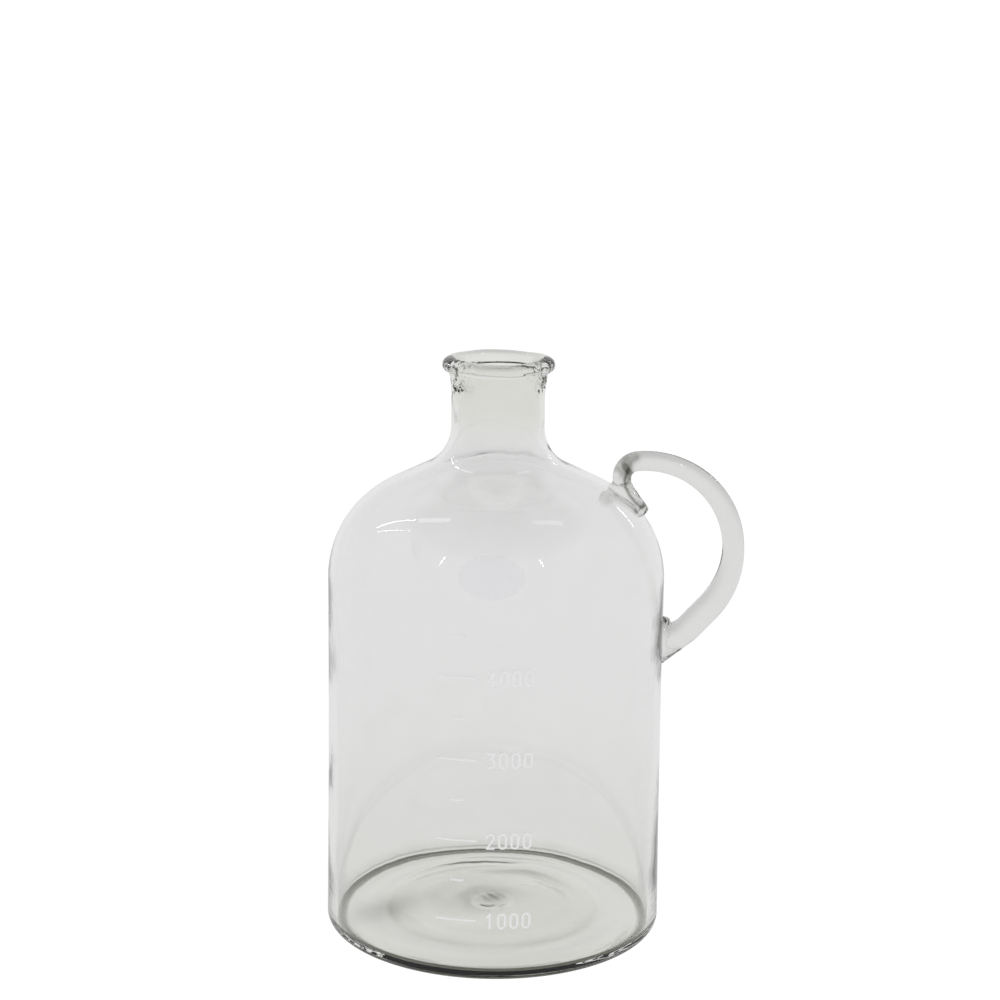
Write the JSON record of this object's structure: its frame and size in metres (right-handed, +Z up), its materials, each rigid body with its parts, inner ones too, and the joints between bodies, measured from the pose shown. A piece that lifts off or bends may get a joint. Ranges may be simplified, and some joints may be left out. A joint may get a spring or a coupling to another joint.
{
  "type": "large glass water jug",
  "caption": "Large clear glass water jug with a straight round body, narrow neck, rounded lip and one looped handle, marked with a volume scale.",
  "frame": {"origin": "on the jug's axis, in the plane of the flat ring it stands on", "axes": "+Z up along the jug's axis and out of the neck, +X towards the handle, -Y towards the volume scale"},
  "size_m": [0.2219, 0.1806, 0.3096],
  "materials": {
    "clear_glass": "clear fire-polished glass with a faint grey-green cast",
    "white_enamel": "fired-on white enamel, slightly glossy",
    "matt_enamel": "thin fired-on matt enamel, slightly see-through"
  },
  "bodies": {
    "root": {"glass_body": "clear_glass", "lip_ring": "clear_glass", "handle": "clear_glass", "upper_handle_foot": "clear_glass", "lower_handle_foot": "clear_glass", "pontil_mark": "clear_glass", "graduation_lines": "white_enamel", "graduation_numbers": "white_enamel", "writing_field": "matt_enamel"}
  },
  "joints": []
}
